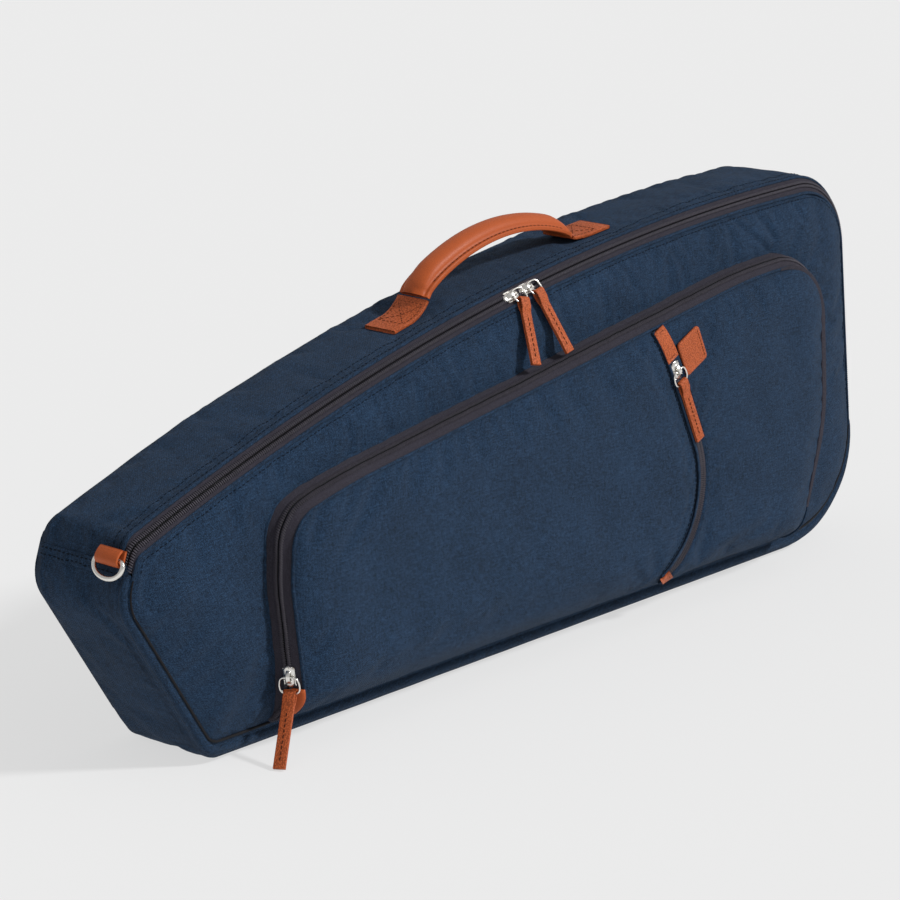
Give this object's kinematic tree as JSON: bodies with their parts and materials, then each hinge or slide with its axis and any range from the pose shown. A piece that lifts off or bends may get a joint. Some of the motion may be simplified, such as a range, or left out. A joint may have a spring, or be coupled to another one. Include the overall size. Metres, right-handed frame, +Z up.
{
  "type": "padded gig bag",
  "caption": "Wedge-shaped padded instrument bag standing on its long edge, with a zip lid, a raised zip pocket, a carry handle and strap rings.",
  "frame": {"origin": "under the centre of the bag, on the surface it stands on", "axes": "+X along the bag to its wide end, +Y from the pocket side to the back, +Z up"},
  "size_m": [0.7732, 0.1301, 0.2948],
  "materials": {
    "navy_cloth": "woven, matte, faintly heathered",
    "lining_cloth": "brushed, matte",
    "foam": "closed-cell foam padding, matte",
    "zip_tape": "woven zip tape, matte",
    "zip_coil": "coil teeth, slightly glossy",
    "tan_leather": "pebbled, satin",
    "grip_leather": "smooth, satin",
    "nickel": "polished nickel"
  },
  "bodies": {
    "shell": {"top_gusset": "navy_cloth", "wide_end_gusset": "navy_cloth", "bottom_gusset": "navy_cloth", "narrow_end_gusset": "navy_cloth", "top_foam": "foam", "wide_end_foam": "foam", "bottom_foam": "foam", "narrow_end_foam": "foam", "gusset_lining": "lining_cloth", "back_panel": "navy_cloth", "back_foam": "foam", "back_lining": "lining_cloth", "main_zip_body_tape": "zip_tape", "main_zip_body_coil": "zip_coil", "handle_patch_left": "tan_leather", "handle_patch_right": "tan_leather", "strap_loop_narrow": "tan_leather", "strap_loop_wide": "tan_leather"},
    "lid": {"front_panel": "navy_cloth", "front_foam": "foam", "front_lining": "lining_cloth", "main_zip_lid_tape": "zip_tape", "main_zip_lid_coil": "zip_coil", "pocket_zip_outer_tape": "zip_tape", "pocket_zip_outer_coil": "zip_coil"},
    "pocket_flap": {"pocket_flap_left": "navy_cloth", "pocket_flap_right": "navy_cloth", "pocket_zip_flap_tape": "zip_tape", "pocket_zip_flap_coil": "zip_coil", "slip_pocket_pouch": "lining_cloth", "panel_zip_left_tape": "zip_tape", "panel_zip_coil": "zip_coil", "panel_zip_right_tape": "zip_tape", "panel_zip_top_tab": "tan_leather", "panel_zip_bottom_tab": "tan_leather", "label_tab": "tan_leather", "pocket_zip_end_tab": "tan_leather"},
    "handle": {"handle_grip": "grip_leather", "handle_core": "foam"},
    "narrow_ring": {"strap_ring_narrow": "nickel"},
    "wide_ring": {"strap_ring_wide": "nickel"},
    "main_left_slider_body": {"main_left_slider": "nickel"},
    "main_left_bail_body": {"main_left_bail": "nickel"},
    "main_left_pull_body": {"main_left_pull": "tan_leather"},
    "main_right_slider_body": {"main_right_slider": "nickel"},
    "main_right_bail_body": {"main_right_bail": "nickel"},
    "main_right_pull_body": {"main_right_pull": "tan_leather"},
    "panel_slider_body": {"panel_slider": "nickel"},
    "panel_bail_body": {"panel_bail": "nickel"},
    "panel_pull_body": {"panel_pull": "tan_leather"},
    "pocket_slider_body": {"pocket_slider": "nickel"},
    "pocket_bail_body": {"pocket_bail": "nickel"},
    "pocket_pull_body": {"pocket_pull": "tan_leather"}
  },
  "joints": [
    {"name": "lid_open", "type": "hinge", "parent": "shell", "child": "lid", "pos_m": [0.0018, -0.0243, 0.016], "axis": [1, 0, 0], "range_deg": [0, 60]},
    {"name": "pocket_open", "type": "hinge", "parent": "lid", "child": "pocket_flap", "pos_m": [0.0018, -0.03284, 0.0205], "axis": [1, 0, 0], "range_deg": [0, 30]},
    {"name": "main_left_slider_travel", "type": "hinge", "parent": "lid", "child": "main_left_slider_body", "pos_m": [0.3158, -0.0196, -1.656], "axis": [0, 1, 0], "range_deg": [-3.4, 0]},
    {"name": "main_right_slider_travel", "type": "hinge", "parent": "lid", "child": "main_right_slider_body", "pos_m": [0.3158, -0.0196, -1.656], "axis": [0, 1, 0], "range_deg": [0, 5]},
    {"name": "panel_slider_travel", "type": "slide", "parent": "pocket_flap", "child": "panel_slider_body", "axis": [0.4305, 0, -0.9026], "range_m": [0, 0.058]},
    {"name": "pocket_slider_travel", "type": "slide", "parent": "pocket_flap", "child": "pocket_slider_body", "axis": [-0.1416, 0, 0.9899], "range_m": [0, 0.055]},
    {"name": "main_left_bail_swing", "type": "hinge", "parent": "main_left_slider_body", "child": "main_left_bail_body", "pos_m": [-0.01906, -0.02186, 0.25469], "axis": [0.1289, -0.6653, -0.7354], "range_deg": [0, 35]},
    {"name": "main_right_bail_swing", "type": "hinge", "parent": "main_right_slider_body", "child": "main_right_bail_body", "pos_m": [-0.00304, -0.02186, 0.25743], "axis": [0.1226, -0.6658, -0.7359], "range_deg": [0, 35]},
    {"name": "panel_bail_swing", "type": "hinge", "parent": "panel_slider_body", "child": "panel_bail_body", "pos_m": [0.11258, -0.06261, 0.18446], "axis": [-0.9026, 0, -0.4305], "range_deg": [0, 90]},
    {"name": "pocket_bail_swing", "type": "hinge", "parent": "pocket_slider_body", "child": "pocket_bail_body", "pos_m": [-0.26393, -0.04645, 0.05205], "axis": [-0.4233, 0.904, -0.0605], "range_deg": [0, 90]},
    {"name": "main_left_pull_swing", "type": "hinge", "parent": "main_left_bail_body", "child": "main_left_pull_body", "pos_m": [-0.01285, -0.02646, 0.25055], "axis": [-0.985, 0, -0.1726], "range_deg": [0, 70]},
    {"name": "main_right_pull_swing", "type": "hinge", "parent": "main_right_bail_body", "child": "main_right_pull_body", "pos_m": [0.00313, -0.02646, 0.25324], "axis": [-0.9864, 0, -0.1644], "range_deg": [0, 70]},
    {"name": "panel_pull_swing", "type": "hinge", "parent": "panel_bail_body", "child": "panel_pull_body", "pos_m": [0.11723, -0.06261, 0.17471], "axis": [-0.9026, 0, -0.4305], "range_deg": [0, 80]},
    {"name": "pocket_pull_swing", "type": "hinge", "parent": "pocket_bail_body", "child": "pocket_pull_body", "pos_m": [-0.2624, -0.04645, 0.04136], "axis": [-0.4233, 0.904, -0.0605], "range_deg": [0, 35]},
    {"name": "handle_sway", "type": "hinge", "parent": "shell", "child": "handle", "pos_m": [0.0018, 0.0147, 0.26996], "axis": [0.9869, 0, 0.1616], "range_deg": [-10, 10], "stiffness_Nm_per_rad": 0.4},
    {"name": "narrow_ring_swing", "type": "hinge", "parent": "shell", "child": "narrow_ring", "pos_m": [-0.37988, -0.0098, 0.14964], "axis": [0, 1, 0], "range_deg": [0, 110]},
    {"name": "wide_ring_swing", "type": "hinge", "parent": "shell", "child": "wide_ring", "pos_m": [0.38026, 0.0182, 0.19059], "axis": [0, -1, 0], "range_deg": [0, 110]}
  ]
}
